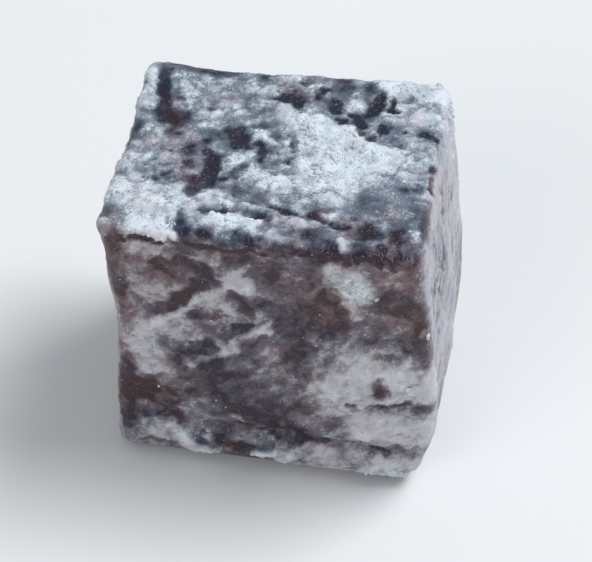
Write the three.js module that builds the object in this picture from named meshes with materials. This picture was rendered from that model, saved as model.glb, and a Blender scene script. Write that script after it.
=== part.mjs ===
// One hand-cut cube of dark Turkish delight under a patchy coat of icing sugar.
// Millimetres, +Z up. The front is the cut face towards -Y, and the cube rests on the plane Z = 0.
import * as THREE from "three";
import { ImprovedNoise } from "three/addons/math/ImprovedNoise.js";
import { mergeVertices } from "three/addons/utils/BufferGeometryUtils.js";

// The block as it was cut from its slab.
const WIDTH = 29.6; // along X, across the front
const DEPTH = 23.6; // along Y, front to back
const HEIGHT = 30.0; // along Z, the slab's thickness

// How far the knife strayed from a true box.
const FOOT_FLARE = 1.3; // the right wall slopes out towards the foot
const LEFT_UNDERCUT = 0.8; // the left wall draws in towards the foot
const BACK_TAPER = 0.9; // the top is narrower at the back than at the front
const TOP_RISE = 0.5; // the top climbs towards the back right corner

// How the soft jelly settled after the cut.
const TOP_RADIUS = 0.9; // the edges round the top
const FOOT_RADIUS = 2.2; // the edges round the foot, which slump further
const FOOT_PRESS = 0.4; // what lies lower than this is pressed flat by the cube's own weight
const SLOUCH = 0.9; // the cube bends out to the right at half its height
const TUCK = 1.3; // the right wall curls in under itself at the foot
const TUCK_HEIGHT = 6; // where that starts
const BELLY = 0.3; // how far each wall swells
const BELLY_HEIGHT = 0.4; // where it swells most, as a share of the height
const TOP_SAG = 0.3; // how far the middle of the top sinks

// The faces' unevenness: waves of these lengths and heights, the shorter on the longer.
const WAVES = [
  { length: 11, height: 0.35 },
  { length: 4.5, height: 0.18 },
  { length: 2.2, height: 0.1 },
];

// The facets: cells about this long on the faces, and closer rows round the edges.
const CELL = 1.0;
const EDGE_ROWS = 2;

// Cakes of sugar that stand proud, and pits and knife marks that sink in, each a stroke with
// round ends from one point of the block's surface to another. A rise below 0 is a hollow.
const TOP = HEIGHT;
const FRONT = -DEPTH / 2;
const LEFT = -WIDTH / 2;
const RIGHT = WIDTH / 2;
const STROKES = [
  // the top
  { from: [2.4, 4.1, TOP], to: [3.8, -2.9, TOP], radius: 2.8, rise: 0.45 }, // the thick middle cake
  { from: [10.0, 2.5, TOP], to: [11.3, 1.0, TOP], radius: 2.1, rise: 0.35 },
  { from: [-12.6, -6.7, TOP], to: [-12.0, FRONT, TOP], radius: 2.5, rise: 0.5 }, // hangs over the front edge
  { from: [-6.0, -9.4, TOP], to: [-1.8, -8.9, TOP], radius: 1.1, rise: 0.7 }, // a small loaf near the edge
  { from: [8.8, 9.6, TOP], to: [12.9, 9.5, TOP], radius: 1.6, rise: 0.75 }, // a lump at the back corner
  { from: [LEFT + 0.5, 10.0, TOP], to: [LEFT + 0.4, 5.0, TOP], radius: 0.9, rise: 0.55 }, // a rim the knife rolled up
  { from: [-12.6, 9.2, TOP], to: [-12.2, 4.6, TOP], radius: 1.2, rise: -0.5 }, // the groove beside the rim
  { from: [-1.5, 3.0, TOP], to: [-6.8, -2.6, TOP], radius: 1.9, rise: -0.4 },
  { from: [5.8, 8.6, TOP], to: [9.8, 6.6, TOP], radius: 1.6, rise: -0.45 },
  { from: [-7.2, -7.4, TOP], to: [-3.0, -6.4, TOP], radius: 0.8, rise: -0.45 }, // a crack behind the loaf
  { from: [-3.0, -6.4, TOP], to: [4.0, -7.2, TOP], radius: 0.8, rise: -0.35 },
  // the front
  { from: [-10.6, FRONT, 18.6], to: [-2.1, FRONT, 25.8], radius: 1.2, rise: 0.4 }, // sugar in a long knife mark
  { from: [-6.9, FRONT, 12.7], to: [0.2, FRONT, 20.0], radius: 0.8, rise: 0.3 },
  { from: [-4.2, FRONT, 18.4], to: [-1.8, FRONT, 19.9], radius: 0.9, rise: -0.5 },
  { from: [5.0, FRONT, 14.5], to: [12.5, FRONT, 9.5], radius: 3.0, rise: 0.35 },
  { from: [6.4, FRONT, 27.2], to: [8.8, FRONT, 24.8], radius: 1.8, rise: 0.35 },
  { from: [-13.0, FRONT, 8.8], to: [-9.0, FRONT, 7.2], radius: 1.6, rise: -0.4 },
  { from: [-11.4, FRONT, 4.0], to: [-7.6, FRONT, 2.6], radius: 1.4, rise: 0.5 }, // crumbs at the foot
  { from: [-5.5, FRONT, 5.8], to: [11.0, FRONT, 4.6], radius: 0.9, rise: -0.5 }, // a crease above the foot
  { from: [-5.0, FRONT, 3.0], to: [12.0, FRONT, 2.4], radius: 1.7, rise: 0.35 }, // the foot bulges under it
  // the right wall, the back and the left wall
  { from: [RIGHT, -6.0, 24.6], to: [RIGHT, 5.0, 18.0], radius: 2.6, rise: 0.35 },
  { from: [RIGHT, 2.0, 8.0], to: [RIGHT, 7.0, 10.0], radius: 2.0, rise: -0.35 },
  { from: [8.0, -FRONT, 22.4], to: [1.0, -FRONT, 15.6], radius: 2.4, rise: 0.4 },
  { from: [-4.0, -FRONT, 9.0], to: [-10.0, -FRONT, 19.0], radius: 1.4, rise: -0.4 },
  { from: [LEFT, 4.0, 21.2], to: [LEFT, -5.0, 11.2], radius: 2.2, rise: 0.4 },
];

const noise = new ImprovedNoise();

// Where grid line t, from -1 to 1, of so many cells lies on a side of the given half length: evenly
// over the face, and closer over the rounded edges, so that each row turns by the same angle.
function gridLine(t, cells, half) {
  const line = Math.round(((1 - Math.abs(t)) / 2) * cells); // counted from the nearer end
  const face = half - TOP_RADIUS;
  if (line < EDGE_ROWS) {
    const turn = ((EDGE_ROWS - line) / EDGE_ROWS) * (Math.PI / 4);
    return Math.sign(t) * (face + TOP_RADIUS * Math.tan(turn));
  }
  return (Math.sign(t) * face * (cells / 2 - line)) / (cells / 2 - EDGE_ROWS);
}

// The radius of the edges at a height, which grows towards the foot.
const edgeRadius = (z) => THREE.MathUtils.lerp(FOOT_RADIUS, TOP_RADIUS, z / HEIGHT);

// The nearest point of the box's core, from which the rounded surface stands off by the edge radius.
function corePoint(p) {
  const r = edgeRadius(p.z);
  return new THREE.Vector3(
    THREE.MathUtils.clamp(p.x, r - WIDTH / 2, WIDTH / 2 - r),
    THREE.MathUtils.clamp(p.y, r - DEPTH / 2, DEPTH / 2 - r),
    THREE.MathUtils.clamp(p.z, FOOT_RADIUS, HEIGHT - TOP_RADIUS),
  );
}

// 1 in the middle of a length of 1, falling to 0 at both ends, with its peak moved to peakAt.
function swell(share, peakAt = 0.5) {
  const towardsPeak = share < peakAt ? share / peakAt : (1 - share) / (1 - peakAt);
  return Math.sin((THREE.MathUtils.clamp(towardsPeak, 0, 1) * Math.PI) / 2);
}

// How far the surface has swollen or sagged at p, along its normal.
function settling(p, normal) {
  const across = swell(p.x / WIDTH + 0.5);
  const along = swell(p.y / DEPTH + 0.5);
  const up = swell(p.z / HEIGHT, BELLY_HEIGHT);
  const walls = BELLY * up * (Math.abs(normal.x) * along + Math.abs(normal.y) * across);
  return walls - TOP_SAG * across * along * Math.max(normal.z, 0);
}

// The faces' general unevenness at p.
function unevenness(p) {
  return WAVES.reduce(
    (sum, { length, height }) => sum + height * noise.noise(p.x / length, p.y / length, p.z / length),
    0,
  );
}

// The rise of all the strokes at p. Each falls away smoothly to nothing at its radius and a half.
const stroked = STROKES.map(({ from, to, radius, rise }) => ({
  line: new THREE.Line3(new THREE.Vector3(...from), new THREE.Vector3(...to)),
  radius,
  rise,
}));
const nearest = new THREE.Vector3();
function strokeRise(p) {
  return stroked.reduce((sum, { line, radius, rise }) => {
    const distance = line.closestPointToPoint(p, true, nearest).distanceTo(p);
    return sum + rise * (1 - THREE.MathUtils.smoothstep(distance, radius * 0.5, radius * 1.5));
  }, 0);
}

// The knife's straying, which leans and tapers the finished block, and the block's slouch.
function stray(p) {
  const right = p.x / WIDTH + 0.5;
  const back = p.y / DEPTH + 0.5;
  const high = p.z / HEIGHT;
  p.x += (1 - high) * (FOOT_FLARE * right + LEFT_UNDERCUT * (1 - right));
  p.x -= high * back * BACK_TAPER * (right - 0.5);
  p.x += SLOUCH * Math.sin(Math.PI * high);
  p.x -= TUCK * right ** 3 * (1 - THREE.MathUtils.smoothstep(p.z, 0, TUCK_HEIGHT));
  p.z += high * right * back * TOP_RISE;
  return p;
}

// The point of the cube's surface for a point of the plain box.
function surfacePoint(boxPoint) {
  const core = corePoint(boxPoint);
  const normal = boxPoint.clone().sub(core).normalize();
  const p = core.addScaledVector(normal, edgeRadius(boxPoint.z));
  if (p.z < FOOT_PRESS) {
    return stray(p.setZ(0));
  }
  const lifted = THREE.MathUtils.smoothstep(p.z, FOOT_PRESS, FOOT_RADIUS); // the foot keeps its outline
  const relief = settling(p, normal) + unevenness(p) + strokeRise(p);
  return stray(p.addScaledVector(normal, relief * lifted));
}

// The whole cube: a grid over a plain box, each of its points moved to the cube's surface.
function cubeGeometry() {
  const size = new THREE.Vector3(WIDTH, DEPTH, HEIGHT);
  const cells = size.clone().divideScalar(CELL).divideScalar(2).round().multiplyScalar(2);
  const box = new THREE.BoxGeometry(2, 2, 2, cells.x, cells.y, cells.z);
  const position = box.getAttribute("position");
  const point = new THREE.Vector3();
  for (let i = 0; i < position.count; i++) {
    point.fromBufferAttribute(position, i);
    point.set(
      gridLine(point.x, cells.x, WIDTH / 2),
      gridLine(point.y, cells.y, DEPTH / 2),
      gridLine(point.z, cells.z, HEIGHT / 2) + HEIGHT / 2,
    );
    position.setXYZ(i, ...surfacePoint(point));
  }
  box.deleteAttribute("normal");
  box.deleteAttribute("uv");
  const whole = mergeVertices(box, 1e-4);
  whole.computeBoundingBox();
  const middle = whole.boundingBox.getCenter(new THREE.Vector3());
  whole.translate(-middle.x, -middle.y, 0);
  whole.computeVertexNormals();
  return whole;
}

const sugaredJelly = new THREE.MeshStandardMaterial({
  color: 0x918f98,
  roughness: 0.85,
  metalness: 0,
});

const cube = new THREE.Mesh(cubeGeometry(), sugaredJelly);
cube.name = "turkish_delight_cube";

const part = new THREE.Group();
part.add(cube);

export default part;
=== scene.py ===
"""A hand-cut cube of dark Turkish delight under a patchy coat of icing sugar.

Lengths in the tables are millimetres. The cut front faces -Y, and the cube rests on Z = 0.
"""

import math
from collections import namedtuple

import bmesh
import bpy
import numpy as np
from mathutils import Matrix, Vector, noise


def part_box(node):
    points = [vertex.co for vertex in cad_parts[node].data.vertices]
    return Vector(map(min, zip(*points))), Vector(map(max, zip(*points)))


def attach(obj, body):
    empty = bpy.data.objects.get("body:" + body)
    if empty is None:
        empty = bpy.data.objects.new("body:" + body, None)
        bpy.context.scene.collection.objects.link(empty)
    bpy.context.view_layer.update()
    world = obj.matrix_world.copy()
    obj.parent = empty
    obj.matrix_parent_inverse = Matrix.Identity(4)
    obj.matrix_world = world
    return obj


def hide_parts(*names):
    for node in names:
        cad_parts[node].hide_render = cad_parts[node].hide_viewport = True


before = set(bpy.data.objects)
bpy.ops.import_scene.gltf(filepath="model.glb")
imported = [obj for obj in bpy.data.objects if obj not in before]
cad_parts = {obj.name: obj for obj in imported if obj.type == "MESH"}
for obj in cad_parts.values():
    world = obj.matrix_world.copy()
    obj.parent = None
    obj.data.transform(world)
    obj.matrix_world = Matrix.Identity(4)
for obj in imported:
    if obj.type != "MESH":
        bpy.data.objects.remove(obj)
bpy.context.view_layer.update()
solid_low, solid_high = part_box("turkish_delight_cube")

MM = 0.001

# The block as it was cut from its slab.
WIDTH, DEPTH, HEIGHT = 29.6, 23.6, 30.0
TOP, FRONT, BACK, LEFT, RIGHT = HEIGHT, -DEPTH / 2, DEPTH / 2, -WIDTH / 2, WIDTH / 2

# How the knife strayed.
FOOT_FLARE = 1.3  # the right wall slopes out towards the foot
LEFT_UNDERCUT = 0.8  # the left wall draws in towards the foot
BACK_TAPER = 0.9  # the top is narrower at the back than at the front
TOP_RISE = 0.5  # the top climbs towards the back right corner
TOP_EDGE, WALL_EDGE, FOOT_EDGE = 0.8, 1.3, 2.1  # the radius of the rounded edges

# How the jelly slumped.
SLOUCH = 0.9  # the cube bends out to the right at half its height
TUCK = 1.3  # the right wall curls in under itself at the foot
TUCK_HEIGHT = 6  # where that starts
BELLY = 0.35  # how far each wall swells
TOP_SAG = 0.3  # how far the middle of the top sinks
WAVES = ((10, 0.4), (3.0, 0.14))  # the faces' unevenness: length and height
WAVES_FROM, WAVES_FULL = 0.3, 2.5  # the heights between which the waves come in
FLAT_FOOT = 0.12  # what lies lower than this is pressed flat

ROUGH_CELL = 0.45  # the jelly's mesh while it is pushed about
PRESS_STEP = 1.2  # how closely the points along a press are picked
SUGAR_DEPTH = 0.38  # how thick the caked sugar stands on the jelly
SUGAR_FROM, SUGAR_FULL = 0.1, 0.9  # the heights between which it comes in
SUGAR_GRAIN = ((0.9, 0.055), (0.45, 0.032))  # the cake's grainy top: size and height
RAGGED = ((1.2, 0.45), (3.6, 0.45))  # how the sugar's edges run ragged: size and reach


# ---------------------------------------------------------------- tools


def drop_selection():
    """Leaves no object selected."""
    bpy.ops.object.select_all(action="DESELECT")


def apply(piece, kind, **settings):
    """Adds a modifier with these settings and applies it."""
    modifier = piece.modifiers.new(kind.lower(), kind)
    for name, value in settings.items():
        setattr(modifier, name, value)
    bpy.context.view_layer.objects.active = piece
    bpy.ops.object.modifier_apply(modifier=modifier.name)


def points_of(piece):
    """The piece's points, one row each, in millimetres."""
    flat = np.zeros(len(piece.data.vertices) * 3, np.float32)
    piece.data.vertices.foreach_get("co", flat)
    return flat.reshape(-1, 3).astype(float) / MM


def place_points(piece, points):
    """Puts the piece's points at these places in millimetres."""
    piece.data.vertices.foreach_set("co", (points * MM).astype(np.float32).ravel())
    piece.data.update()


def normals_of(piece):
    flat = np.zeros(len(piece.data.vertices) * 3, np.float32)
    piece.data.vertices.foreach_get("normal", flat)
    return flat.reshape(-1, 3).astype(float)


def smooth(low, high, value):
    """0 below low, 1 above high and an even rise between them."""
    share = np.clip((value - low) / (high - low), 0, 1)
    return share * share * (3 - 2 * share)


# ---------------------------------------------------------------- the jelly


def move_points(block, pick, by, reach=None, falloff="SMOOTH"):
    """Moves the points that pick selects, as by hand in edit mode, and those within reach less."""
    bpy.ops.object.mode_set(mode="EDIT")
    bpy.ops.mesh.select_all(action="DESELECT")
    mesh = bmesh.from_edit_mesh(block.data)
    pick(mesh.verts)
    mesh.select_flush_mode()
    bmesh.update_edit_mesh(block.data)
    softly = {} if reach is None else {
        "use_proportional_edit": True,
        "proportional_edit_falloff": falloff,
        "proportional_size": reach * MM,
    }
    bpy.ops.transform.translate(value=Vector(by) * MM, **softly)
    bpy.ops.object.mode_set(mode="OBJECT")


def shift(block, chosen, by, *softness):
    """Moves the block's points whose place passes the test."""

    def pick(verts):
        for vert in verts:
            vert.select_set(bool(chosen(vert.co / MM)))

    move_points(block, pick, by, *softness)


def press(block, start, end, by, reach):
    """Pushes or pulls the jelly softly along a line, as a thumb or a knife's flat would."""
    start, end = Vector(start), Vector(end)
    steps = max(1, round((end - start).length / PRESS_STEP))

    def pick(verts):
        for step in range(steps + 1):
            spot = start.lerp(end, step / steps) * MM
            min(verts, key=lambda vert: (vert.co - spot).length_squared).select_set(True)

    move_points(block, pick, by, reach)


def cut_block():
    """The block with its strayed cuts and rounded edges."""
    drop_selection()
    bpy.ops.mesh.primitive_cube_add(
        size=1, location=(0, 0, HEIGHT / 2 * MM), scale=(WIDTH * MM, DEPTH * MM, HEIGHT * MM)
    )
    block = bpy.context.object
    block.name = "sugared_cube"
    bpy.ops.object.transform_apply(location=True, rotation=True, scale=True)
    shift(block, lambda p: p.x > 0 and p.z < 1, (FOOT_FLARE, 0, 0))
    shift(block, lambda p: p.x < 0 and p.z < 1, (LEFT_UNDERCUT, 0, 0))
    shift(block, lambda p: p.x > 0 and p.y > 0 and p.z > 1, (-BACK_TAPER / 2, 0, TOP_RISE))
    shift(block, lambda p: p.x < 0 and p.y > 0 and p.z > 1, (BACK_TAPER / 2, 0, 0))
    mesh = block.data
    weights = mesh.attributes.new("bevel_weight_edge", "FLOAT", "EDGE")
    for edge in mesh.edges:
        low, high = sorted(mesh.vertices[i].co.z / MM for i in edge.vertices)
        upright = high - low > 1
        radius = WALL_EDGE if upright else TOP_EDGE if low > 1 else FOOT_EDGE
        weights.data[edge.index].value = radius / FOOT_EDGE
    apply(block, "BEVEL", limit_method="WEIGHT", width=FOOT_EDGE * MM, segments=4)
    apply(block, "REMESH", mode="VOXEL", voxel_size=ROUGH_CELL * MM)
    return block


# Where the soft jelly is pushed in or out: from, to, by and reach.
PRESSES = [
    # each wall swells, and the top sinks
    ((0, FRONT, 12), (0, FRONT, 12), (0, -BELLY, 0), 15),
    ((0, BACK, 12), (0, BACK, 12), (0, BELLY, 0), 15),
    ((LEFT, 0, 12), (LEFT, 0, 12), (-BELLY, 0, 0), 14),
    ((RIGHT + 1.6, 0, 12), (RIGHT + 1.6, 0, 12), (BELLY, 0, 0), 14),
    ((0, 0, TOP), (0, 0, TOP), (0, 0, -TOP_SAG), 12),
    # the top edges' own waves
    ((-4, FRONT, TOP), (-2, FRONT, TOP), (0, -0.1, 0.18), 3.5),
    ((5, FRONT, TOP), (8, FRONT, TOP), (0, 0.15, -0.15), 3),
    ((13, FRONT, TOP), (14.8, FRONT, TOP), (0.1, -0.1, -0.2), 3),
    ((-13, FRONT, TOP), (-14.8, FRONT, TOP), (-0.2, -0.2, 0.1), 3),
    ((LEFT, 0, TOP), (LEFT, 3, TOP), (0.25, 0, -0.1), 4),
    ((-8, BACK, TOP), (-3, BACK, TOP), (0, -0.25, -0.15), 4),
    ((3, BACK, TOP), (5, BACK, TOP), (0, 0.2, -0.1), 3),
    ((RIGHT, 3, TOP), (RIGHT, 0, TOP), (-0.2, 0, -0.15), 3),
    # the walls' edges
    ((RIGHT + 1.6, FRONT, 10), (RIGHT + 1.6, FRONT, 12), (0.2, -0.15, 0), 4),
    ((LEFT + 1.2, FRONT, 16), (LEFT + 1.1, FRONT, 19), (0.2, 0.1, 0), 4),
    ((LEFT + 0.6, FRONT, 7), (LEFT + 0.6, FRONT, 8), (-0.2, -0.15, 0), 3.5),
    ((RIGHT + 0.6, BACK, 17), (RIGHT + 0.6, BACK, 19), (-0.3, 0.2, 0), 4),
    # broad dents and humps on the faces
    ((-10, FRONT, 19), (-2.4, FRONT, 25.6), (0, -0.22, 0), 3.5),
    ((-4.2, FRONT, 18.4), (-1.8, FRONT, 19.9), (0, 0.35, 0), 1.6),
    ((6, FRONT, 14), (12, FRONT, 9), (0, -0.25, 0), 5),
    ((10, FRONT, 20), (13, FRONT, 22), (0, 0.25, 0), 4),
    ((-13, FRONT, 9.2), (-9.5, FRONT, 8.2), (0, 0.3, 0), 2.6),
    ((-5.5, FRONT, 5.8), (2.9, FRONT, 5.0), (0, 0.4, 0), 1.5),
    ((2.9, FRONT, 5.0), (11.3, FRONT, 4.7), (0, 0.4, 0), 1.5),
    ((-5.0, FRONT, 3.0), (12.0, FRONT, 2.4), (0, -0.25, 0), 2.4),
    ((-3.6, 3, TOP), (-3.0, 0.6, TOP), (0, 0, -0.3), 2.0),
    ((-6.0, -1.2, TOP), (-5.6, -4.6, TOP), (0, 0, -0.3), 1.8),
    ((5.0, 7.4, TOP), (9.4, 7.8, TOP), (0, 0, -0.3), 2.6),
    ((-13.3, 9.8, TOP), (-12.8, 5.0, TOP), (0, 0, -0.45), 1.3),
    ((-6.6, -7.9, TOP), (-0.8, -8.2, TOP), (0, 0, -0.4), 1.0),
    ((-0.6, -6.9, TOP), (7, -8.1, TOP), (0, 0, -0.25), 1.0),
    ((RIGHT, 4, 9), (RIGHT, 6, 14), (-0.3, 0, 0), 5),
    ((RIGHT, -4, 22), (RIGHT, -1, 19), (0.2, 0, 0), 4),
    ((-6, BACK, 10), (-9, BACK, 17), (0, -0.35, 0), 4),
    ((6, BACK, 21), (3, BACK, 17), (0, 0.25, 0), 4.5),
    ((LEFT, 3, 20), (LEFT, -4, 12), (-0.25, 0, 0), 4.5),
    ((LEFT, -6, 21), (LEFT, -7, 24), (0.3, 0, 0), 3),
]


def slump(block):
    """The jelly's bend and uneven faces, then a mesh fine enough for the sugar."""
    middle = HEIGHT / 2
    shift(block, lambda p: abs(p.z - middle) < ROUGH_CELL, (SLOUCH, 0, 0), middle, "INVERSE_SQUARE")
    shift(block, lambda p: p.x > RIGHT - 1 and p.z < ROUGH_CELL, (-TUCK, 0, 0), TUCK_HEIGHT)
    for start, end, by, reach in PRESSES:
        press(block, start, end, by, reach)
    waves = bpy.data.textures.new("waves", "CLOUDS")
    waves.noise_basis = "IMPROVED_PERLIN"
    for length, height in WAVES:
        waves.noise_scale = length * MM
        group = block.vertex_groups.new(name="above_foot")
        for index, point in enumerate(points_of(block)):
            group.add([index], float(smooth(WAVES_FROM, WAVES_FULL, point[2])), "REPLACE")
        apply(
            block,
            "DISPLACE",
            texture=waves,
            strength=height * MM,
            mid_level=0.5,
            vertex_group="above_foot",
        )
        block.vertex_groups.clear()
    bpy.data.textures.remove(waves)
    apply(block, "SUBSURF", levels=1, render_levels=1)


# ---------------------------------------------------------------- the sugar

# Each face's sugar in general: how much of it, how mottled, how pitted, how rubbed off in marks,
# how damp, how far the knife dragged it and which way.
Side = namedtuple("Side", "level mottle pits rub damp drag way")
SIDES = [
    Side(0.52, 0.95, 0.65, 0.0, 0.05, 0.09, (1, 0.15, 0)),  # the top
    Side(0.45, 0.6, 0.4, 0.3, 0.60, 0.05, (1, 0, 0)),  # the underside
    Side(0.44, 0.6, 0.2, 0.0, 0.90, 0.15, (0.64, 0, 0.77)),  # the front
    Side(0.64, 0.3, 0.2, 1.0, 0.60, 0.06, (0.7, 0, -0.7)),  # the back
    Side(0.65, 0.25, 0.1, 0.5, 0.75, 0.04, (0, 0.5, 0.86)),  # the right wall
    Side(0.60, 0.25, 0.1, 0.8, 0.80, 0.08, (0, 0.3, 0.95)),  # the left wall
]

# Where the sugar lies thick (amount above 0) or is rubbed and pitted away (below 0): from, to,
# radius and amount. A stroke fades from half its radius to one and a half times it.
TOP_SUGAR = [
    ((1.8, 3.6), (6.2, 0.2), 2.4, 0.60),  # the thick middle cake
    ((3.9, 2.4), (4.8, -3.4), 2.1, 0.42),
    ((5.5, 1.2), (9.5, 1.2), 1.5, 0.25),
    ((9.0, 1.2), (12.6, -0.6), 1.9, 0.24),
    ((3.2, 8.1), (3.3, 7.0), 0.5, -0.7),  # pits behind it
    ((5.3, 6.2), (6.0, 5.0), 0.55, -0.7),
    ((7.1, 10.0), (7.0, 7.4), 0.55, -0.7),
    ((8.5, 9.0), (8.7, 7.6), 0.42, -0.65),
    ((4.3, 5.4), (3.6, 5.6), 0.4, -0.7),
    ((7.8, 4.7), (8.2, 3.9), 0.42, -0.6),
    ((6.0, 4.0), (6.5, 3.6), 0.36, -0.5),
    ((4.9, 8.8), (5.6, 7.8), 0.6, 0.3),
    ((11.2, 8.6), (12.2, 6.6), 1.3, 0.34),
    ((10.4, 4.7), (13.8, 4.2), 0.3, -0.62),
    ((-2.2, 7.8), (0.1, 7.4), 0.45, -0.65),  # dashes at the back
    ((1.4, 9.4), (1.4, 8.2), 0.55, -0.7),
    ((-8.4, 10.0), (-3.0, 9.6), 1.2, 0.18),
    ((-10.6, 9.0), (-10.2, 6.6), 1.6, 0.42),
    ((-6.2, 6.6), (-1.6, 5.8), 1.4, 0.22),
    ((-13.4, 10.2), (-12.8, 4.7), 0.6, -0.5),  # the groove beside the rolled rim
    ((-14.6, 9.9), (-14.5, 5.5), 0.7, 0.55),
    ((-5.8, 3.7), (-4.8, 1.0), 0.85, -0.58),  # the dark blots left of the cake
    ((-3.3, 1.4), (-2.9, 0.3), 0.5, -0.5),
    ((0.0, 3.0), (0.4, 1.9), 0.5, -0.75),
    ((-7.0, -1.0), (-6.5, -4.6), 0.75, -0.5),
    ((-7.9, -4.5), (-8.1, -6.3), 0.7, -0.45),
    ((-6.8, -5.6), (-5.0, -6.0), 0.9, -0.2),
    ((-4.2, -2.0), (-4.6, -3.3), 0.5, -0.4),
    ((-8.6, 3.2), (-3.8, 4.4), 0.5, 0.35),  # a pale streak
    ((-3.2, 2.5), (-2.2, 2.1), 0.6, 0.4),
    ((-3.5, -3.8), (-0.6, -3.5), 1.0, 0.25),
    ((0.9, -0.8), (2.4, -3.0), 1.2, 0.22),
    ((-2.8, -5.4), (2.6, -5.6), 1.1, 0.2),
    ((-13.4, 0.2), (-11.2, -2.0), 1.5, 0.18),
    ((-10.4, 3.6), (-8.6, -3.4), 2.4, -0.16),
    ((12.2, 3.2), (13.4, -0.8), 1.8, -0.16),
    ((13.0, -4.4), (13.6, -7.2), 1.2, -0.2),
    ((-12.6, 10.9), (3.0, 10.7), 1.1, -0.16),
    ((8.5, -4.9), (12.4, -6.9), 2.2, -0.16),  # a thin damp film
    ((13.4, 0.6), (13.7, -1.7), 0.5, -0.6),
    ((13.9, -3.4), (14.3, -4.9), 0.6, -0.6),
    ((-13.2, -6.8), (-11.4, -11.6), 2.5, 0.44),  # the front left cake
    ((-14.8, -10.0), (-13.0, -12.1), 1.05, -0.4),
    ((-12.6, -11.6), (-9.6, -11.9), 1.1, 0.3),
    ((-8.4, -9.3), (-7.9, -10.8), 0.6, -0.45),
    ((-5.3, -9.3), (-2.6, -9.5), 0.9, 0.68),  # the small loaf
    ((-6.0, -11.2), (-0.5, -11.3), 0.6, -0.3),
    ((-0.7, -8.9), (-0.8, -10.6), 0.5, -0.3),
    ((-6.7, -6.6), (-2.2, -6.9), 0.5, 0.35),
    ((-6.6, -7.9), (-1.4, -8.1), 0.45, -0.5),
    ((0.2, -8.3), (2.3, -8.8), 0.9, 0.26),
    ((4.4, -7.0), (5.1, -7.2), 0.5, 0.45),
    ((3.6, -9.4), (8.0, -9.0), 0.9, -0.22),
    ((-0.6, -6.9), (7.0, -8.1), 0.4, -0.5),
    ((0.5, -11.9), (14.0, -11.4), 0.8, -0.42),  # bare along the front edge
    ((4.8, -10.4), (13.8, -10.0), 1.5, -0.16),
    ((6.6, -8.0), (6.8, -10.4), 0.35, 0.25),
    ((8.3, -7.8), (8.5, -10.8), 0.35, -0.3),
    ((9.9, -7.4), (10.1, -10.4), 0.4, 0.25),
    ((11.3, -7.9), (11.5, -10.9), 0.35, -0.3),
    ((12.9, -6.9), (12.9, -9.2), 0.6, 0.34),
    ((5.5, -10.3), (6.2, -10.8), 0.5, -0.4),
    ((7.9, 11.3), (13.9, 10.5), 1.6, 0.6),  # lumps at the back right corner
]
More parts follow.
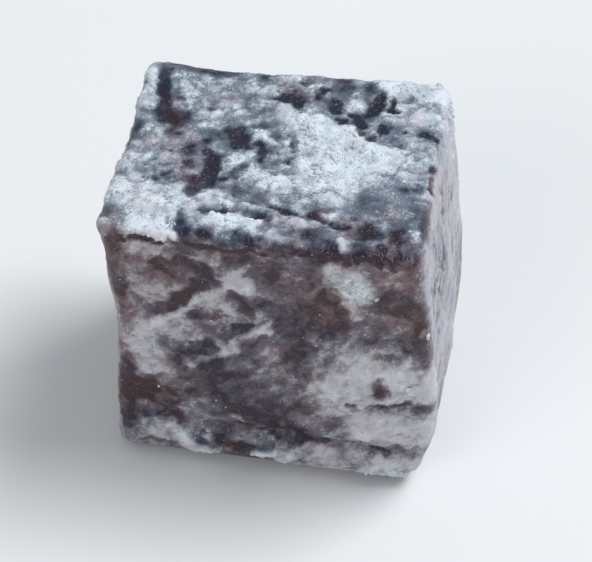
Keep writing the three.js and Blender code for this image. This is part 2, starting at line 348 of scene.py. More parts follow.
FRONT_SUGAR = [
    ((-13.5, 29.2), (14.2, 29.0), 0.32, -0.55),  # bare under the top edge
    ((-14.5, 28.9), (-9.6, 29.1), 0.4, -0.8),
    # less sugar down the left edge, left dark as painted shade from a neighbouring cube
    ((-14.6, 27.4), (-13.8, 22.0), 0.9, -0.25),
    ((-13.8, 22.0), (-13.4, 15.0), 0.8, -0.22),
    ((-14.0, 27.6), (14.0, 27.4), 1.5, -0.12),
    ((6.4, 27.3), (8.8, 25.6), 1.5, 0.45),
    ((7.4, 24.4), (7.8, 22.4), 1.0, 0.3),
    ((5.0, 24.2), (6.4, 22.9), 0.9, -0.38),
    ((10.6, 24.8), (14.4, 22.6), 1.3, -0.42),
    ((13.9, 20.6), (15.0, 16.6), 1.4, -0.36),
    ((-10.0, 26.5), (-9.4, 25.2), 0.8, -0.38),
    ((-8.0, 26.6), (-5.6, 25.9), 0.9, -0.28),
    ((-13.2, 25.8), (-10.8, 22.6), 1.6, 0.12),
    ((-6.4, 27.6), (-4.4, 27.2), 0.8, 0.16),
    ((-5.2, 24.8), (-10.2, 20.6), 0.8, -0.4),  # the long knife mark, dark above and white in it
    ((-2.9, 26.2), (-2.1, 24.3), 1.05, 0.2),
    ((-1.6, 25.6), (-1.9, 23.9), 0.6, 0.12),
    ((-3.4, 24.6), (-10.6, 18.7), 0.5, 0.20),
    ((-2.6, 24.6), (-10.6, 17.2), 1.7, 0.15),
    ((-3.2, 23.0), (-1.9, 21.6), 0.8, -0.34),
    ((-6.7, 20.1), (-4.8, 20.4), 0.7, -0.35),
    ((-3.9, 18.6), (-1.7, 19.7), 0.45, -0.85),
    ((-6.9, 13.6), (0.0, 19.8), 0.5, 0.28),
    ((-7.8, 12.9), (-3.6, 16.8), 0.85, 0.15),
    ((-3.2, 17.2), (-0.8, 15.4), 1.1, -0.16),
    ((-9.4, 13.6), (-8.0, 12.2), 1.0, -0.18),
    ((-0.9, 19.2), (0.2, 20.2), 0.5, 0.16),
    ((0.7, 25.6), (2.8, 23.2), 1.2, -0.2),
    ((1.2, 21.8), (2.6, 17.9), 1.6, -0.25),
    ((4.4, 21.4), (6.8, 19.8), 1.3, -0.18),
    ((-12.6, 17.2), (-11.0, 13.6), 1.7, 0.34),
    ((-9.8, 18.0), (-6.8, 17.0), 1.4, 0.16),
    ((-7.9, 15.8), (-5.8, 16.0), 0.8, -0.32),
    ((-5.6, 14.0), (-4.2, 10.2), 1.2, -0.28),
    ((-5.5, 12.5), (1.5, 8.5), 3.4, -0.15),
    ((8.2, 15.8), (12.0, 16.8), 1.8, 0.30),
    ((7.0, 12.9), (15.0, 13.8), 2.0, 0.40),
    ((9.4, 7.6), (15.0, 8.0), 2.0, 0.42),
    ((4.6, 12.4), (8.0, 10.4), 1.4, 0.14),
    ((10.2, 14.2), (10.7, 12.8), 0.75, -0.6),
    ((10.4, 17.2), (12.2, 17.5), 0.6, -0.3),
    ((7.6, 10.9), (11.5, 11.1), 0.25, -0.34),
    ((11.5, 11.1), (16.2, 12.8), 0.28, -0.40),
    ((-0.4, 7.3), (2.9, 6.6), 0.9, -0.12),
    ((0.8, 9.8), (3.0, 7.6), 1.2, 0.14),
    ((-13.0, 6.3), (-8.8, 5.7), 0.9, -0.22),
    ((-13.6, 9.6), (-9.8, 8.4), 1.4, -0.5),
    ((-11.6, 4.2), (-10.4, 3.0), 0.9, 0.34),  # sugar swept up at the foot
    ((-9.4, 4.4), (-8.0, 2.6), 0.8, 0.45),
    ((-7.2, 1.6), (-5.4, 1.9), 0.6, 0.4),
    ((-6.4, 4.6), (-5.6, 4.0), 0.4, 0.35),
    # less sugar along the crease above the foot, left dark as painted shade in the crease
    ((-5.5, 5.8), (2.9, 5.0), 0.45, -0.5),
    ((2.9, 5.0), (11.3, 4.7), 0.45, -0.5),
    ((-4.6, 3.8), (-2.0, 3.0), 0.8, -0.35),
    ((-1.0, 2.3), (0.4, 2.8), 0.5, 0.5),
    ((1.0, 1.6), (2.2, 2.0), 0.5, 0.5),
    ((-3.4, 6.6), (-2.6, 6.8), 0.4, 0.4),
    ((1.6, 4.2), (2.0, 5.2), 0.35, 0.35),
    ((3.4, 3.0), (13.4, 2.6), 1.4, 0.3),
    ((2.4, 1.0), (8.8, 0.8), 0.5, 0.4),
    ((9.2, 1.5), (10.4, 2.2), 0.6, 0.4),
    ((11.2, 1.4), (12.6, 1.6), 0.6, 0.4),
]
WALL_SUGAR = {
    "right": [  # y and z
        ((9.8, 29.4), (3.0, 29.2), 0.4, -0.4),
        ((11.4, 20.0), (11.5, 8.0), 0.7, -0.4),
        ((-9.0, 15.6), (-9.4, 14.2), 0.5, -0.6),
        ((-3.0, 22.4), (-2.0, 20.2), 0.5, -0.45),
        ((2.0, 9.0), (5.5, 11.2), 0.8, -0.35),
        ((-6.0, 4.0), (0.0, 2.8), 0.8, -0.35),
    ],
    "back": [  # x and z
        ((13, 27.4), (-12, 26.8), 1.8, 0.2),  # fallen from the top
        ((13.4, 29.2), (-2, 29.4), 0.3, -0.5),
        ((-14.6, 24.0), (-14.3, 9.0), 0.9, -0.4),
        ((8.6, 23.5), (1.6, 16), 1.3, 0.25),
        ((5.4, 23), (-0.6, 16.6), 0.4, -0.45),
        ((-4, 9), (-9.4, 18), 1.0, -0.3),
        ((-6, 8.4), (-11.4, 17), 0.5, 0.3),
        ((12.4, 13.4), (9.6, 17.4), 1.0, -0.3),
        ((-13, 4.5), (-7, 3.4), 0.9, -0.35),
        ((5, 8.4), (12, 5.6), 1.6, 0.25),
    ],
    "left": [  # y and z
        ((9.0, 29.4), (-4.0, 29.2), 0.35, -0.5),
        ((-11.6, 12.0), (-11.5, 4.0), 0.8, -0.35),
        ((10.4, 27.6), (-3, 28.2), 1.6, 0.2),
        ((2.6, 24), (-6.4, 10), 1.6, 0.16),
        ((7.6, 13.4), (2.4, 6.2), 1.1, -0.3),
        ((-8.4, 23.5), (-9.2, 17), 0.9, -0.3),
        ((-1.6, 21), (-2.6, 4), 0.35, -0.3),
        ((9.6, 24.6), (6.6, 21.3), 0.7, -0.35),
    ],
}

# How far the swollen walls stand past the block, where the strokes on them are laid.
FRONT_SWELL, WALL_SWELL = 0.3, 0.2

# These walls also have small marks at random: how many, and how far their sugar differs.
RANDOM_MARKS = {"back": (22, 0.36), "left": (18, 0.28), "right": (12, 0.26)}

# Where the sugar on top lies smooth and even: from, to and radius.
EVEN_SUGAR = [
    ((8.6, -4.4), (12.2, -6.4), 2.5),  # the thin damp film
    ((2.8, 3.0), (4.8, -1.8), 2.3),  # the middle cake
    ((9.4, 1.0), (12.0, -0.4), 1.6),
    ((-13.0, -7.4), (-11.8, -10.8), 2.3),  # the front left cake
]

# Where the sugar is damper (amount above 0) or still dry and crumbly (below 0): from, to, radius
# and amount.
DAMP_STROKES = [
    ((-12.6, FRONT, 4.4), (-5.0, FRONT, 1.8), 2.2, -0.45),
    ((-1.6, FRONT, 2.4), (2.6, FRONT, 1.8), 1.4, -0.45),
    ((8.4, FRONT, 1.6), (13.0, FRONT, 1.6), 1.4, -0.45),
    ((6.4, FRONT, 27.4), (8.8, FRONT, 25.4), 1.6, -0.45),
    ((-13.4, 10.0, TOP), (-12.4, 4.6, TOP), 1.2, 0.3),
    ((-12.0, 3.0, TOP), (-10.2, -1.6, TOP), 2.0, 0.3),
    ((-8.8, -3.0, TOP), (-6.4, -8.6, TOP), 1.6, 0.3),
    ((0.6, -9.6, TOP), (13.6, -10.6, TOP), 1.6, 0.5),
]

# Where light comes through the jelly brown: from, to, radius and amount.
WARM_STROKES = [
    ((-14.0, FRONT, 27.6), (14.0, FRONT, 27.6), 1.8, 0.35),
    ((LEFT + 0.4, FRONT, 27.0), (LEFT + 1.4, FRONT, 14.0), 1.4, 0.5),
    ((LEFT + 1.4, FRONT, 14.0), (LEFT + 1.0, FRONT, 4.0), 1.4, 0.5),
    ((-14.6, FRONT, TOP), (-12.0, FRONT, TOP - 0.6), 1.3, 0.7),
    ((10.5, FRONT, 28.0), (15.0, FRONT, 27.4), 1.9, 0.6),
    ((4.6, FRONT, 23.6), (14.5, FRONT, 22.4), 2.4, 0.8),
    ((6.4, FRONT, 27.2), (8.4, FRONT, 25.6), 1.8, 0.3),
    ((-13.2, FRONT, 26.2), (-8.4, FRONT, 23.4), 2.6, 0.75),
    ((-13.4, FRONT, 9.4), (-9.8, FRONT, 8.0), 1.8, 0.5),
]


def on_wall(wall, across, height):
    """The point of a wall at a place across it and a height."""
    high = height / HEIGHT
    if wall == "back":
        return across, BACK + WALL_SWELL, height
    bend = SLOUCH * math.sin(math.pi * high)
    if wall == "right":
        return RIGHT + FOOT_FLARE * (1 - high) + bend + WALL_SWELL, across, height
    return LEFT + LEFT_UNDERCUT * (1 - high) + bend - WALL_SWELL, across, height


def random_marks():
    """Small marks of the knife and the fingers: wall, from, to, radius and amount."""
    draw = np.random.default_rng(5)
    for wall, (count, amount) in RANDOM_MARKS.items():
        half = (WIDTH if wall == "back" else DEPTH) / 2 - 1.5
        for _ in range(count):
            across, up = draw.uniform(-half, half), draw.uniform(2, HEIGHT - 2)
            slant, length = draw.normal(1.0, 0.35), 0.6 + 5.5 * draw.random() ** 2.5
            end = across + length * math.cos(slant), min(up + length * math.sin(slant), HEIGHT - 1)
            radius = 0.3 + 0.9 * draw.random() ** 1.6
            change = amount * draw.choice((-1.2, 1)) * draw.uniform(0.5, 1.3)
            yield wall, (across, up), end, radius, change


def sugar_strokes():
    """All the strokes in the block's space: from, to, radius and amount."""
    for (x0, y0), (x1, y1), radius, amount in TOP_SUGAR:
        yield (x0, y0, TOP), (x1, y1, TOP), radius, amount
    for (x0, z0), (x1, z1), radius, amount in FRONT_SUGAR:
        yield (x0, FRONT - FRONT_SWELL, z0), (x1, FRONT - FRONT_SWELL, z1), radius, amount
    placed = ((wall, *stroke) for wall, strokes in WALL_SUGAR.items() for stroke in strokes)
    for wall, start, end, radius, amount in (*placed, *random_marks()):
        yield on_wall(wall, *start), on_wall(wall, *end), radius, amount


def near_stroke(points, start, end, radius):
    """1 along a stroke out to half its radius, fading to 0 at one and a half times it."""
    start, line = np.array(start, float), np.array(end, float) - start
    share = np.clip((points - start) @ line / (line @ line), 0, 1)
    distance = np.linalg.norm(points - start - share[:, None] * line, axis=1)
    return 1 - smooth(0.5 * radius, 1.5 * radius, distance)


def add_strokes(points, strokes):
    """The amounts of the strokes summed at each point."""
    total = np.zeros(len(points))
    for start, end, radius, amount in strokes:
        total += amount * near_stroke(points, start, end, radius)
    return total


def clouded(points, size, octaves, seed):
    """Fractal noise of about -1 to 1 with blotches of this size."""
    offset = Vector((seed, seed * 1.7, seed * 2.3))
    decay, finer = 0.9, 2.1
    return np.array([noise.fractal(Vector(p) / size + offset, decay, finer, octaves) for p in points])


def streaked(points, way, size, seed, pull=0.8):
    """The same noise drawn out along a way, as a knife's drag leaves it."""
    way = np.array(way, float) / np.linalg.norm(way)
    squeezed = points - pull * (points @ way)[:, None] * way
    return clouded(squeezed, size, 3, seed)


def cell_distances(points, size, seed):
    """How far each point is from the nearest and the next of scattered cells' middles."""
    offset = Vector((seed, -seed, seed))
    return np.array([noise.voronoi(Vector(p) / size + offset)[0][:2] for p in points])


def pocked(points, size, seed):
    """1 in the middle of scattered round pits of about this spacing, 0 between them."""
    return 1 - smooth(0.10, 0.50, cell_distances(points, size, seed)[:, 0])


def cracked(points, size, seed):
    """1 on the thin cracks between flakes of about this size, 0 on the flakes."""
    near, far = cell_distances(points, size, seed).T
    return 1 - smooth(0.03, 0.14, far - near)


def facing(normals):
    """How squarely each point faces up, down, front, back, right and left, from 0 to 1."""
    x, y, z = normals.T
    return [np.clip(share, 0, 1) ** 2 for share in (z, -z, -y, y, x, -x)]


def blended(shares, quality):
    """A quality of the faces' sugar at each point, by how squarely the point faces each way."""
    return sum(share * getattr(side, quality) for share, side in zip(shares, SIDES))


def ragged(points):
    """How far each point is moved before the strokes are laid, so that their edges run ragged."""
    return sum(
        reach * np.stack([clouded(points, size, 3, seed) for seed in (3.1, 7.7, 12.9)], axis=1)
        for size, reach in RAGGED
    )


def lay_sugar(cube):
    """How much sugar lies at each point of the cube, 0 for none and 1 for a thick cake."""
    points, shares = points_of(cube), facing(normals_of(cube))
    level, mottle, pits = (blended(shares, quality) for quality in ("level", "mottle", "pits"))
    warp = ragged(points)
    warped = points + warp
    strokes = (1.1 - 0.48 * mottle) * add_strokes(warped, sugar_strokes())

    # The strokes' own sugar is less mottled than the rest.
    calm = 1 - 0.6 * smooth(0.12, 0.35, np.abs(strokes))
    for (x0, y0), (x1, y1), radius in EVEN_SUGAR:
        calm *= 1 - 0.7 * near_stroke(warped, (x0, y0, TOP), (x1, y1, TOP), radius)

    # Clouds of it, from broad to small.
    sugar = level + strokes + 0.10 * clouded(points, 6.0, 2, 17.0)
    sugar += 0.32 * mottle * calm * clouded(points, 2.6, 2, 1.3)
    sugar += 0.13 * mottle * calm * clouded(points, 1.1, 2, 5.9)

    # The knife's drag over each face, and rubbed marks where it was handled.
    handled = smooth(-0.05, 0.3, clouded(points, 5.0, 2, 27.0))
    handled *= smooth(-0.5, 0.4, clouded(points, 2.4, 2, 33.0))
    for share, side in zip(shares, SIDES):
        sugar += side.drag * share * streaked(points + 1.4 * warp, side.way, 0.9, 9.0)
        if side.rub:
            marks = smooth(0.08, 0.34, streaked(warped, side.way, 1.5, 14.0, 0.6))
            sugar -= 0.48 * side.rub * share * handled * marks

    # Pits in open ground, and cracks between the flakes of the thick cakes.
    open_ground = smooth(-0.15, 0.35, clouded(points, 4.5, 2, 21.0))
    sugar -= 0.5 * pits * calm * pocked(warped, 1.4, 2.2) * open_ground
    sugar -= 0.22 * mottle * cracked(warped, 2.7, 4.4) * smooth(0.45, 0.75, sugar)
    return np.clip(sugar, 0, 1.1)


def lay_damp(cube):
    """Where the sugar has drawn damp and gone mauve, from 0 to 1."""
    points = points_of(cube)
    damp = blended(facing(normals_of(cube)), "damp") + add_strokes(points, DAMP_STROKES)
    return np.clip(damp + 0.3 * clouded(points, 4.0, 3, 52.0), 0, 1)


def lay_warmth(cube):
    """Where the jelly shows brown rather than aubergine, from 0 to 1."""
    points, up = points_of(cube), facing(normals_of(cube))[0]
    warmth = 0.12 - 0.32 * up + 0.75 * clouded(points, 3.0, 3, 31.0)
    return np.clip(warmth + 0.9 * add_strokes(points, WARM_STROKES), 0, 1)


def store(piece, name, values):
    """Keeps a value for each of the piece's points under a name that its material can read."""
    layer = piece.data.attributes.new(name, "FLOAT", "POINT")
    layer.data.foreach_set("value", values.astype(np.float32))


# The steps in the sugar's height up to a film, a dusting and a cake, and a slope along them all:
# the step's share of the height, and the amounts of sugar that it starts and ends at.
STEPS = [(0.10, 0.26, 0.34), (0.28, 0.48, 0.56), (0.34, 0.68, 0.76), (0.28, 0.30, 1.10)]


def terraced(sugar):
    """The height of the sugar from 0 to 1."""
    return sum(share * smooth(low, high, sugar) for share, low, high in STEPS)


def raise_sugar(cube, sugar):
    """Lifts the caked sugar off the jelly, with a grainy top, and leaves the foot flat."""
    height = points_of(cube)[:, 2]
    caked = terraced(sugar) * smooth(SUGAR_FROM, SUGAR_FULL, height)
    group = cube.vertex_groups.new(name="caked")
    for index, weight in enumerate(caked):
        group.add([index], float(weight), "REPLACE")
    apply(cube, "DISPLACE", strength=SUGAR_DEPTH * MM, mid_level=0, vertex_group="caked")
    grain = bpy.data.textures.new("grain", "CLOUDS")
    grain.noise_basis = "IMPROVED_PERLIN"
    for size, lift in SUGAR_GRAIN:
        grain.noise_scale = size * MM
        apply(
            cube, "DISPLACE", texture=grain, strength=lift * MM, mid_level=0.5, vertex_group="caked"
        )
    bpy.data.textures.remove(grain)
    cube.vertex_groups.clear()


def settle(cube):
    """Sets the cube's box over the solid's, with its foot flat on Z = 0."""
    points = points_of(cube)
    middle = (points.min(0) + points.max(0)) / 2
    target = (solid_low + solid_high) / 2 / MM
    points[:, 0] += target.x - middle[0]
    points[:, 1] += target.y - middle[1]
    points[:, 2] -= points[:, 2].min()
    points[points[:, 2] < FLAT_FOOT, 2] = 0
    place_points(cube, points)


def craggy_lump(name, rounds, craggy, seed):
    """One lump of sugar, a millimetre in radius, with dents and corners all over."""
    drop_selection()
    bpy.ops.mesh.primitive_ico_sphere_add(subdivisions=rounds, radius=MM, location=(0, 0, 0))
    lump = bpy.context.object
    lump.name = name
    draw = np.random.default_rng(seed)
    points = points_of(lump)
    place_points(lump, points * (1 + craggy * draw.uniform(-1, 1, (len(points), 1))))
    return lump


def sprinkle(cube, name, lump, count, sizes, thick, seed):
    """Copies of a lump over the cube, close where thick is 1, half sunk in what they lie on."""
    store(cube, name, thick)
    lumps = bpy.data.objects.new(name, cube.data.copy())
    bpy.context.scene.collection.objects.link(lumps)
    tree = bpy.data.node_groups.new(name, "GeometryNodeTree")
    tree.interface.new_socket("Geometry", in_out="INPUT", socket_type="NodeSocketGeometry")
    tree.interface.new_socket("Geometry", in_out="OUTPUT", socket_type="NodeSocketGeometry")

    def node(kind, inputs=(), **settings):
        made = tree.nodes.new(kind)
        for key, value in settings.items():
            setattr(made, key, value)
        for key, value in dict(inputs).items():
            if isinstance(value, bpy.types.NodeSocket):
                tree.links.new(value, made.inputs[key])
            else:
                made.inputs[key].default_value = value
        return made

    surface = tree.nodes.new("NodeGroupInput").outputs[0]
    share = node("GeometryNodeInputNamedAttribute", {"Name": name}, data_type="FLOAT")
    area = sum(face.area * thick[face.vertices[0]] for face in cube.data.polygons)
    density = node("ShaderNodeMath", {0: share.outputs[0], 1: count / area}, operation="MULTIPLY")
    spots = node(
        "GeometryNodeDistributePointsOnFaces",
        {"Mesh": surface, "Density": density.outputs[0], "Seed": seed},
        distribute_method="RANDOM",
    )
    one = node("GeometryNodeObjectInfo", {"Object": lump})
    draw = node("FunctionNodeRandomValue", {"Seed": seed + 1}, data_type="FLOAT")
    mostly_small = node("ShaderNodeMath", {0: draw.outputs[1], 1: 2.5}, operation="POWER")
    radius = node("ShaderNodeMapRange", {0: mostly_small.outputs[0], 3: sizes[0], 4: sizes[1]})
    squash = node(
        "FunctionNodeRandomValue",
        {0: (0.6, 0.6, 0.5), 1: (1.4, 1.4, 1.0), "Seed": seed + 2},
        data_type="FLOAT_VECTOR",
    )
    scale = node(
        "ShaderNodeVectorMath", {0: squash.outputs[0], "Scale": radius.outputs[0]}, operation="SCALE"
    )
    turn = node(
        "FunctionNodeRandomValue",
        {0: (0, 0, 0), 1: (math.tau, math.tau, math.tau), "Seed": seed + 3},
        data_type="FLOAT_VECTOR",
    )
    placed = node(
        "GeometryNodeInstanceOnPoints",
        {
            "Points": spots.outputs["Points"],
            "Instance": one.outputs["Geometry"],
            "Rotation": turn.outputs[0],
            "Scale": scale.outputs[0],
        },
    )
    whole = node("GeometryNodeRealizeInstances", {0: placed.outputs[0]})
    tree.links.new(whole.outputs[0], tree.nodes.new("NodeGroupOutput").inputs[0])
    apply(lumps, "NODES", node_group=tree)
    bpy.data.objects.remove(lump)
    points = points_of(lumps)
    points[:, 2] = np.maximum(points[:, 2], 0)
    place_points(lumps, points)
    return lumps


# ---------------------------------------------------------------- finishes


class Finish:
    """A material with a short way to add and join its nodes."""

    def __init__(self, name):
        self.material = bpy.data.materials.new(name)
        self.material.use_nodes = True
        self.nodes = self.material.node_tree.nodes
        self.links = self.material.node_tree.links
        self.shader = self.nodes["Principled BSDF"]
        place = self.node("ShaderNodeVectorMath", operation="SCALE")
        self.feed(place.inputs[0], self.node("ShaderNodeTexCoord").outputs["Object"])
        self.feed(place.inputs["Scale"], 1 / MM)
        self.place = place.outputs[0]

    def node(self, kind, **settings):
        made = self.nodes.new(kind)
        for name, value in settings.items():
            setattr(made, name, value)
        return made

    def feed(self, socket, value):
        if isinstance(value, bpy.types.NodeSocket):
            self.links.new(value, socket)
        else:
            socket.default_value = value

    def maths(self, operation, *values, clamp=False):
        made = self.node("ShaderNodeMath", operation=operation, use_clamp=clamp)
        for socket, value in zip(made.inputs, values):
            self.feed(socket, value)
        return made.outputs[0]

    def clouds(self, size, detail, roughness, distortion=0.0):
        """Noise of about 0 to 1 with blotches of this size."""
        made = self.node("ShaderNodeTexNoise")
        self.feed(made.inputs["Vector"], self.place)
        self.feed(made.inputs["Scale"], 1 / size)
        self.feed(made.inputs["Detail"], detail)
        self.feed(made.inputs["Roughness"], roughness)
        self.feed(made.inputs["Distortion"], distortion)
        return made.outputs["Fac"]

    def cells(self, size):
        """How far each point is from its cell's middle, and a number from 0 to 1 for each cell."""
        made = self.node("ShaderNodeTexVoronoi")
        self.feed(made.inputs["Vector"], self.place)
        self.feed(made.inputs["Scale"], 1 / size)
        lot = self.node("ShaderNodeSeparateColor")
        self.feed(lot.inputs["Color"], made.outputs["Color"])
        return made.outputs["Distance"], lot.outputs["Red"]

    def attribute(self, name):
        return self.node("ShaderNodeAttribute", attribute_name=name).outputs["Fac"]

    def ramp(self, value, *stops):
        """The colour for a value, between stops of a position and a colour."""
        made = self.node("ShaderNodeValToRGB")
        self.feed(made.inputs["Fac"], value)
        elements = made.color_ramp.elements
        while len(elements) < len(stops):
            elements.new(1.0)
        for element, (position, colour) in zip(elements, stops):
            element.position = position
            element.color = (*colour, 1.0)
        return made.outputs["Color"]

    def span(self, value, low, high, to_low=0.0, to_high=1.0):
        """The value's place between low and high, between to_low and to_high."""
        made = self.node("ShaderNodeMapRange", clamp=True)
        self.feed(made.inputs["Value"], value)
        self.feed(made.inputs["From Min"], low)
        self.feed(made.inputs["From Max"], high)
        self.feed(made.inputs["To Min"], to_low)
        self.feed(made.inputs["To Max"], to_high)
        return made.outputs["Result"]

    def mix(self, factor, first, second, blend="MIX"):
        made = self.node("ShaderNodeMix", data_type="RGBA", blend_type=blend)
        self.feed(made.inputs["Factor"], factor)
        self.feed(made.inputs["A"], first)
        self.feed(made.inputs["B"], second)
        return made.outputs["Result"]

    def bump(self, height, distance, strength, below=None):
        """The normal over a relief of this height, on top of the relief below."""
        made = self.node("ShaderNodeBump")
        self.feed(made.inputs["Height"], height)
        self.feed(made.inputs["Distance"], distance * MM)
        self.feed(made.inputs["Strength"], strength)
        if below is not None:
            self.feed(made.inputs["Normal"], below)
        return made.outputs["Normal"]

    def jitter(self, value, noise_value, amount):
        """The value with noise of 0 to 1 added around it."""
        shifted = self.maths("MULTIPLY_ADD", noise_value, amount, -amount / 2)
        return self.maths("ADD", value, shifted)

    def grains(self, size, cover):
        """1 on grains of about this size that lie as thick as the cover from 0 to 1 says, else 0."""
        distance, lot = self.cells(size)
        left = self.maths("MULTIPLY_ADD", distance, -0.5, cover)
        left = self.maths("MULTIPLY_ADD", cover, 0.5, left)
        return self.span(self.maths("SUBTRACT", left, lot), 0.0, 0.12)


def powder_white(finish, lilac=0.2):
    """Dry sugar: cool white, with greyer clouds, and warmer where it goes lilac."""
    clouds = finish.clouds(1.7, 4.0, 0.65, 0.3)
    white = finish.ramp(
        clouds, (0.36, (0.52, 0.565, 0.63)), (0.47, (0.66, 0.71, 0.765)), (0.58, (0.785, 0.84, 0.89))
    )
    tint = finish.mix(lilac, (0.98, 1, 1, 1), (0.96, 0.87, 0.885, 1))
    return finish.mix(1.0, white, tint, "MULTIPLY")


def sugared_jelly():
    """Bare dark jelly, a damp mauve film where the sugar is thin and cool white where it cakes."""
    finish = Finish("sugared_jelly")
    damp = finish.attribute("damp")

    def by_damp(dry_value, damp_value):
        return finish.span(damp, 0.2, 0.8, dry_value, damp_value)

    # How much sugar there is, its edges broken up, with a faint bloom on the bare jelly.
    coat = finish.attribute("sugar")
    broken = finish.maths("SUBTRACT", finish.clouds(0.5, 4.0, 0.65, 0.4), 0.5)
    coat = finish.maths("MULTIPLY_ADD", broken, by_damp(0.21, 0.31), coat)
    fine = finish.maths("SUBTRACT", finish.clouds(0.13, 2.0, 0.6), 0.5)
    coat = finish.maths("MULTIPLY_ADD", fine, by_damp(0.12, 0.13), coat)
    mist = finish.clouds(1.5, 5.0, 0.62, 0.5)
    bloom = finish.span(mist, 0.40, 0.62, 0.12, by_damp(0.23, 0.34))
    coat = finish.maths("SMOOTH_MAX", coat, bloom, 0.12, clamp=True)

    # The film's colour from bare to caked: cool where it is dry, mauve where damp, and brown. The
    # cool film's two darkest stops are dark jelly painted bluish as a reflection of the sky.
    levels = (0.00, 0.22, 0.30, 0.42, 0.52, 0.64, 0.80)
    cool = (
        # the two darkest stops: dark jelly with a painted bluish reflection of the sky
        (0.011, 0.014, 0.030),
        (0.019, 0.024, 0.046),
        (0.052, 0.067, 0.099),
        (0.122, 0.148, 0.193),
        (0.213, 0.255, 0.310),
        (0.376, 0.430, 0.488),
        (0.545, 0.610, 0.658),
    )
    mauve = (
        (0.021, 0.010, 0.020),
        (0.034, 0.019, 0.035),
        (0.088, 0.068, 0.098),
        (0.168, 0.150, 0.182),
        (0.292, 0.268, 0.302),
        (0.520, 0.485, 0.520),
        (0.680, 0.650, 0.685),
    )
    brown = (
        (0.038, 0.014, 0.014),
        (0.060, 0.028, 0.028),
        (0.124, 0.075, 0.082),
        (0.208, 0.152, 0.162),
        (0.312, 0.256, 0.268),
        (0.450, 0.414, 0.424),
        (0.600, 0.580, 0.594),
    )
    films = [finish.ramp(coat, *zip(levels, colours)) for colours in (cool, mauve, brown)]
    lilac = finish.span(finish.jitter(damp, finish.clouds(2.4, 3.0, 0.55), 2.8), 0.1, 0.8)
    film = finish.mix(lilac, films[0], films[1])
    film = finish.mix(finish.attribute("warmth"), film, films[2])
    beads = finish.grains(0.3, finish.span(coat, 0.30, 0.85))
    pores = finish.grains(0.2, finish.span(coat, 0.70, 0.30, 0.10, 0.35))
    film = finish.mix(finish.maths("MULTIPLY", beads, 0.4), film, (0.52, 0.53, 0.57, 1))
    film = finish.mix(finish.maths("MULTIPLY", pores, 0.45), film, (0.03, 0.02, 0.03, 1))

    # Dry powder on the film, in clumps and as dust between them.
    dry = finish.maths("MULTIPLY_ADD", damp, -0.16, coat)
    clumps = finish.grains(0.26, finish.span(dry, 0.50, 0.86))
    dust = finish.grains(0.12, finish.span(dry, 0.40, 0.84))
    powder = finish.maths("MAXIMUM", clumps, finish.maths("MULTIPLY", dust, 0.65))
    powder = finish.maths("MULTIPLY", powder, by_damp(1.0, 0.7))
    colour = finish.mix(powder, film, powder_white(finish, lilac))
    finish.feed(finish.shader.inputs["Base Color"], colour)

    # Bare jelly is glossy and lets light in.
    bare = finish.span(coat, 0.18, 0.50, 1.0, 0.0)
    finish.feed(finish.shader.inputs["Roughness"], finish.span(bare, 0.0, 1.0, 0.88, 0.2))
    finish.feed(finish.shader.inputs["Subsurface Weight"], finish.span(bare, 0.0, 1.0, 0.04, 0.35))
    finish.shader.inputs["IOR"].default_value = 1.40
    finish.shader.inputs["Specular IOR Level"].default_value = 0.5
    finish.shader.inputs["Subsurface Radius"].default_value = (2.4, 0.7, 0.8)
    finish.shader.inputs["Subsurface Scale"].default_value = 0.0005

    # What is too fine for the mesh.
    normal = finish.bump(finish.clouds(0.8, 4.0, 0.6, 0.8), 0.07, 0.8)
    normal = finish.bump(coat, 0.12, 0.8, normal)
    dimples = finish.maths("MULTIPLY", finish.clouds(0.4, 2.0, 0.5, 0.3), bare)
    normal = finish.bump(dimples, 0.2, 0.9, normal)
    normal = finish.bump(finish.maths("SUBTRACT", beads, pores), 0.03, 0.6, normal)
    normal = finish.bump(powder, 0.035, 0.7, normal)
    finish.feed(finish.shader.inputs["Normal"], normal)
    return finish.material


def icing_sugar():
    """The same dry sugar in loose lumps."""
    finish = Finish("icing_sugar")
    finish.feed(finish.shader.inputs["Base Color"], powder_white(finish))
    finish.shader.inputs["Roughness"].default_value = 0.95
    finish.feed(finish.shader.inputs["Normal"], finish.bump(finish.clouds(0.1, 2.0, 0.6), 0.03, 0.8))
    return finish.material


def plain_floor():
    """A pale, even floor."""
    finish = Finish("pale_floor")
    finish.shader.inputs["Base Color"].default_value = (0.86, 0.86, 0.855, 1)
    finish.shader.inputs["Roughness"].default_value = 0.7
    return finish.material


# ---------------------------------------------------------------- the scene


def dress(piece, material):
    """Shades a finished piece smooth, gives it its material and sets it on the only body."""
    drop_selection()
    piece.select_set(True)
    bpy.context.view_layer.objects.active = piece
    bpy.ops.object.shade_smooth()
    piece.data.materials.clear()
    piece.data.materials.append(material)
    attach(piece, "root")


cube = cut_block()
slump(cube)
settle(cube)
sugar = lay_sugar(cube)
store(cube, "sugar", sugar)
store(cube, "warmth", lay_warmth(cube))
damp = lay_damp(cube)
store(cube, "damp", damp)
raise_sugar(cube, sugar)
settle(cube)
dress(cube, sugared_jelly())
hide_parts("turkish_delight_cube")

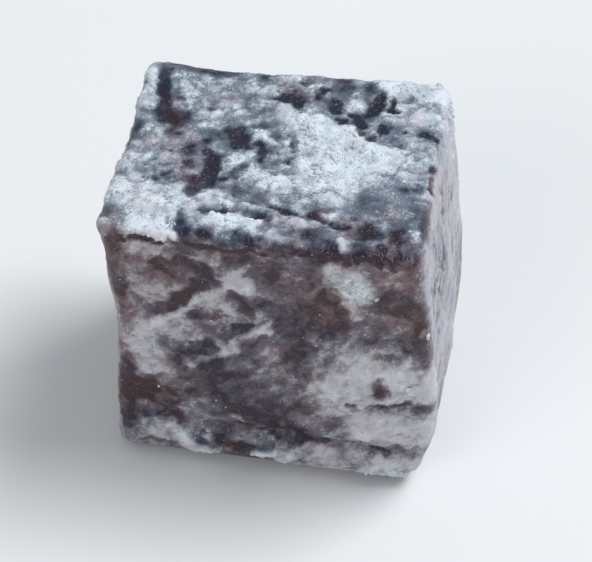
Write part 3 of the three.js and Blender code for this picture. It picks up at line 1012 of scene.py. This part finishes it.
points = points_of(cube)
clear_of_foot = smooth(0.15, 0.4, points[:, 2])
heaps = smooth(0.0, 0.5, clouded(points, 2.0, 3, 44.0))
dry_sugar = sugar - 0.3 * damp
thick_sugar, any_sugar = smooth(0.6, 0.92, dry_sugar), smooth(0.36, 0.8, dry_sugar)
sprinklings = (
    # name, the lump's roundness and cragginess, how many, their sizes, where they lie and the seed
    ("sugar_lumps", 2, 0.28, 180, (0.14, 0.34), thick_sugar * heaps + 0.0006, 11),
    ("sugar_crumbs", 2, 0.28, 1500, (0.06, 0.15), thick_sugar * (0.3 + heaps) + 0.001, 17),
    ("sugar_grains", 1, 0.22, 9000, (0.03, 0.06), any_sugar + 0.01, 23),
)
for name, rounds, craggy, count, sizes, share, seed in sprinklings:
    lump = craggy_lump(name + "_lump", rounds, craggy, seed)
    lumps = sprinkle(cube, name, lump, count, sizes, np.clip(share * clear_of_foot, 0, 1), seed)
    dress(lumps, icing_sugar())

drop_selection()
bpy.ops.mesh.primitive_plane_add(size=4.0)
floor = bpy.context.object
floor.name = "floor"
floor.data.materials.append(plain_floor())

# The camera stands well back and looks down on the cube from a little to its right.
CAMERA_TURN, CAMERA_DROP, CAMERA_REACH = math.radians(9.5), math.radians(45), 0.3
CAMERA_LENS = 190
AIM = Vector((0.0006, 0, 0.014))
camera = bpy.data.objects.new("camera", bpy.data.cameras.new("camera"))
bpy.context.scene.collection.objects.link(camera)
outward = Vector(
    (
        math.sin(CAMERA_TURN) * math.cos(CAMERA_DROP),
        -math.cos(CAMERA_TURN) * math.cos(CAMERA_DROP),
        math.sin(CAMERA_DROP),
    )
)
camera.location = AIM + outward * CAMERA_REACH
camera.rotation_euler = (-outward).to_track_quat("-Z", "Y").to_euler()
camera.data.lens = CAMERA_LENS
camera.data.clip_start = 0.01
bpy.context.scene.camera = camera


def softbox(name, place, size, power, colour):
    """A large soft lamp that faces the cube."""
    lamp = bpy.data.objects.new(name, bpy.data.lights.new(name, "AREA"))
    bpy.context.scene.collection.objects.link(lamp)
    lamp.data.shape = "RECTANGLE"
    lamp.data.size, lamp.data.size_y = size
    lamp.data.energy = power
    lamp.data.color = colour
    lamp.location = place
    lamp.rotation_euler = (-Vector(place)).to_track_quat("-Z", "Y").to_euler()


softbox("overhead", (0.7, 0.35, 1.25), (0.8, 0.7), 17.0, (0.94, 0.97, 1.0))
softbox("fill", (-0.7, -1.1, 0.7), (0.9, 0.9), 4.8, (1.0, 0.98, 0.97))

world = bpy.data.worlds.new("studio")
bpy.context.scene.world = world
world.use_nodes = True
world.node_tree.nodes["Background"].inputs["Color"].default_value = (0.86, 0.93, 1.0, 1)
world.node_tree.nodes["Background"].inputs["Strength"].default_value = 0.35
bpy.context.scene.view_settings.view_transform = "Standard"
